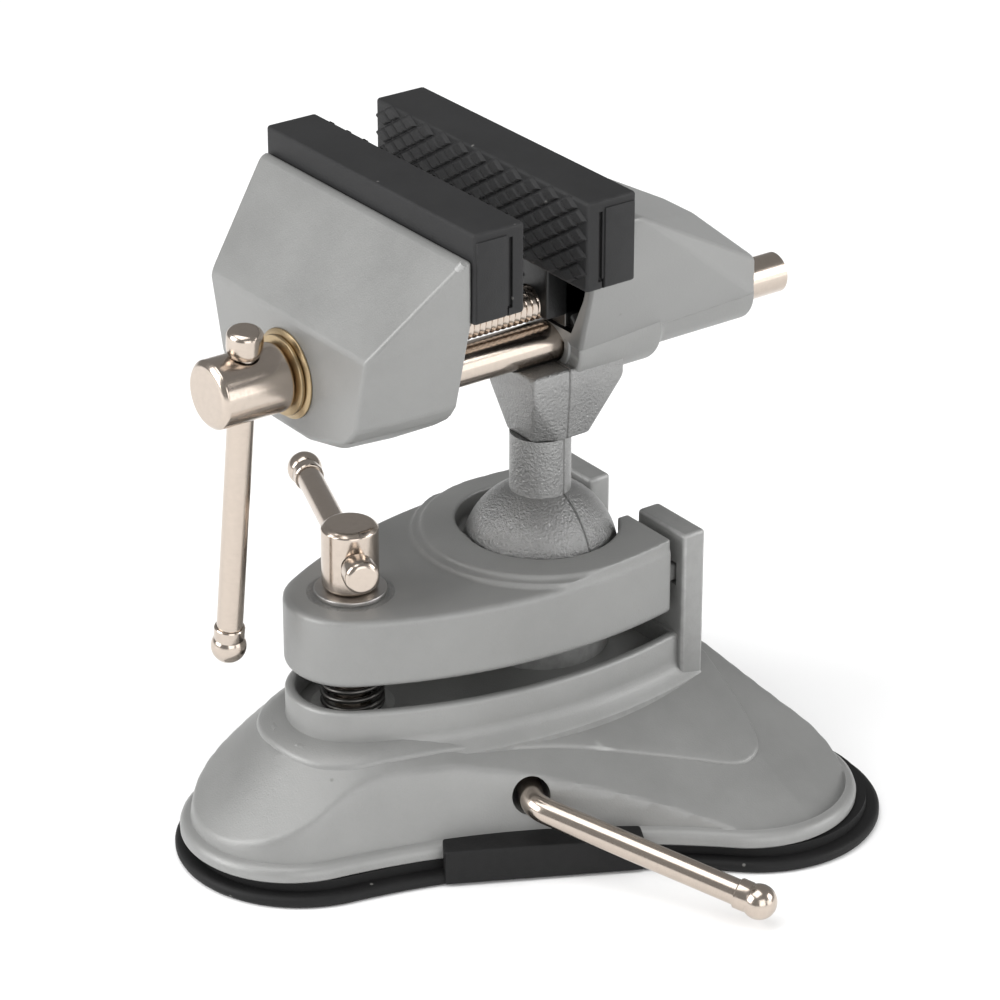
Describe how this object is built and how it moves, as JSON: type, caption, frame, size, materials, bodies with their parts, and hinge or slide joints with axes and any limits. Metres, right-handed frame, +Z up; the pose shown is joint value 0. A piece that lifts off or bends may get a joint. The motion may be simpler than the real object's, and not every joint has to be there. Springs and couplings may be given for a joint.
{
  "type": "suction base vise",
  "caption": "Small bench vise with rubber-faced jaws on a ball joint, held by a clamp plate on a lobed suction base with a side lever.",
  "frame": {"origin": "on the bench under the ball's axis, at the rubber's flat underside", "axes": "+Z up, +Y from the crossbar towards the back of the jaws, +X along the jaws towards the suction lever's side"},
  "size_m": [0.1609, 0.1549, 0.1484],
  "materials": {
    "paint": "light grey metallic paint, satin",
    "bare_casting": "rough bare casting",
    "rubber": "matt moulded",
    "nickel": "nickel plate, turned",
    "zinc": "clear zinc plate",
    "yellow_zinc": "yellow zinc plate",
    "steel": "plain spring steel"
  },
  "bodies": {
    "base": {"base_casting": "paint", "suction_pad": "rubber", "clamp_nut": "zinc", "clamp_spring": "steel"},
    "pull_post": {"pad_plate": "steel", "pad_stem": "steel", "stem_rivet": "zinc"},
    "lever": {"suction_lever": "nickel", "lever_ball": "nickel", "lever_clip": "steel"},
    "plate": {"clamp_plate": "paint"},
    "clamp_washer": {"clamp_washer": "zinc"},
    "clamp_screw": {"clamp_screw": "nickel"},
    "clamp_bar": {"clamp_bar": "nickel", "clamp_bar_ends": "nickel"},
    "ball": {"ball_stem": "bare_casting"},
    "fixed_jaw": {"fixed_jaw": "paint", "fixed_pad": "rubber", "lead_nut": "zinc", "nut_pin": "steel"},
    "moving_jaw": {"moving_jaw": "paint", "moving_pad": "rubber", "guide_bar": "nickel", "guide_pin": "steel"},
    "lead_screw": {"lead_screw": "nickel", "screw_washers": "yellow_zinc", "screw_clip": "steel"},
    "screw_bar": {"screw_bar": "nickel", "screw_bar_ends": "nickel"}
  },
  "joints": [
    {"name": "pad_lift", "type": "slide", "parent": "base", "child": "pull_post", "axis": [0, 0, 1], "range_m": [0, 0.0024]},
    {"name": "lever_turn", "type": "hinge", "parent": "base", "child": "lever", "pos_m": [0, -0.0095, 0.016], "axis": [0.885, -0.4655, 0], "range_deg": [0, 180.1]},
    {"name": "plate_tilt", "type": "hinge", "parent": "base", "child": "plate", "pos_m": [0, 0.0213, 0.0488], "axis": [-1, 0, 0], "range_deg": [0, 0.25]},
    {"name": "clamp_lift", "type": "slide", "parent": "base", "child": "clamp_washer", "axis": [0, 0, 1], "range_m": [0, 0.000278], "deforming": ["clamp_spring"]},
    {"name": "clamp_turn", "type": "hinge", "parent": "clamp_washer", "child": "clamp_screw", "pos_m": [0, -0.04949, 0.06525], "axis": [0, 0, 1], "range_deg": [0, 80.1]},
    {"name": "clamp_bar_slide", "type": "slide", "parent": "clamp_screw", "child": "clamp_bar", "axis": [0.9361, -0.3518, 0], "range_m": [0, 0.0314]},
    {"name": "head_tilt", "type": "hinge", "parent": "base", "child": "ball", "pos_m": [0, 0, 0.0514], "axis": [-1, 0, 0], "range_deg": [-10, 60]},
    {"name": "head_swivel", "type": "hinge", "parent": "ball", "child": "fixed_jaw", "pos_m": [0, 0, 0.09], "axis": [0, 0, 1], "continuous": true},
    {"name": "jaw_slide", "type": "slide", "parent": "fixed_jaw", "child": "moving_jaw", "axis": [0, 1, 0], "range_m": [-0.0195, 0.006]},
    {"name": "screw_turn", "type": "hinge", "parent": "moving_jaw", "child": "lead_screw", "pos_m": [0, -0.0746, 0.1109], "axis": [0, 1, 0], "range_deg": [-4681, 1441]},
    {"name": "screw_bar_slide", "type": "slide", "parent": "lead_screw", "child": "screw_bar", "axis": [0.1374, 0, 0.9905], "range_m": [0, 0.051]}
  ],
  "couplings": [
    {"joint": "lever_turn", "follows": "pad_lift", "rad_per_m": 1309},
    {"joint": "clamp_turn", "follows": "clamp_lift", "rad_per_m": 5026.5},
    {"joint": "plate_tilt", "follows": "clamp_lift", "rad_per_m": 12.658},
    {"joint": "screw_turn", "follows": "jaw_slide", "rad_per_m": 4188.8}
  ]
}
